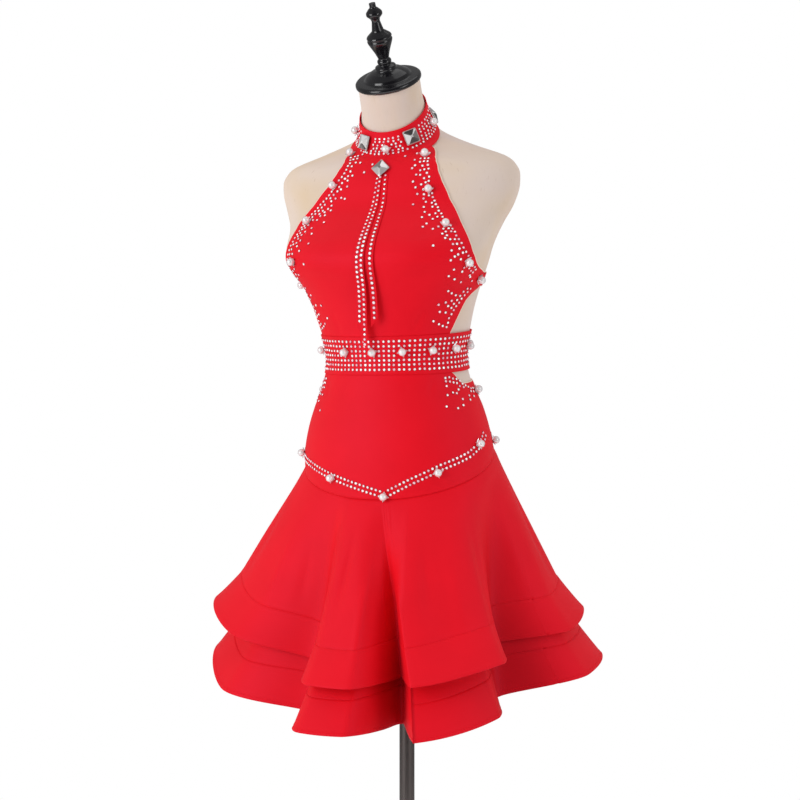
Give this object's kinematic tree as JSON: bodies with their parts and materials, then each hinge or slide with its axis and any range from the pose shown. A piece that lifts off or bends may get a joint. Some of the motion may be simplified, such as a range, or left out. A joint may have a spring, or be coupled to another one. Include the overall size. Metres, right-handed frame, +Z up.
{
  "type": "salsa dance dress on a limbless dress form",
  "caption": "Red halter-neck salsa dress with open back, stoned collar and belt, V-trimmed hip yoke and two-tier flared skirt, worn by a dress form on a round stand.",
  "frame": {"origin": "centre of the base plate's underside, on the floor", "axes": "+Z up along the stand's pole, the dress's front towards -Y, the wearer's left towards +X"},
  "size_m": [0.5564, 0.5024, 1.5877],
  "materials": {
    "red_stretch_knit": "smooth stretch dance knit, soft low sheen",
    "form_canvas": "pale ecru canvas pulled over the form",
    "mirror_glass": "foiled faceted glass",
    "black_lacquer": "gloss black lacquered turned wood",
    "pearl": "pearl lacquer on round beads",
    "nude_elastic": "narrow nude elastic edging",
    "dark_steel": "dark grey satin steel"
  },
  "bodies": {
    "root": {"form_torso": "form_canvas", "neck_cap": "black_lacquer", "pole": "dark_steel", "base": "dark_steel", "bodice_front": "red_stretch_knit", "collar": "red_stretch_knit", "back_band": "red_stretch_knit", "belt": "red_stretch_knit", "yoke_front": "red_stretch_knit", "yoke_back": "red_stretch_knit", "upper_skirt_front": "red_stretch_knit", "upper_skirt_back": "red_stretch_knit", "upper_hem_front": "red_stretch_knit", "upper_hem_back": "red_stretch_knit", "lower_skirt_front": "red_stretch_knit", "lower_skirt_back": "red_stretch_knit", "lower_hem_front": "red_stretch_knit", "lower_hem_back": "red_stretch_knit", "strip_left": "red_stretch_knit", "strip_right": "red_stretch_knit", "stone_front": "mirror_glass", "stone_collar_front_left": "mirror_glass", "stone_collar_front_right": "mirror_glass", "stone_collar_side_left": "mirror_glass", "stone_collar_side_right": "mirror_glass"}
  },
  "joints": []
}
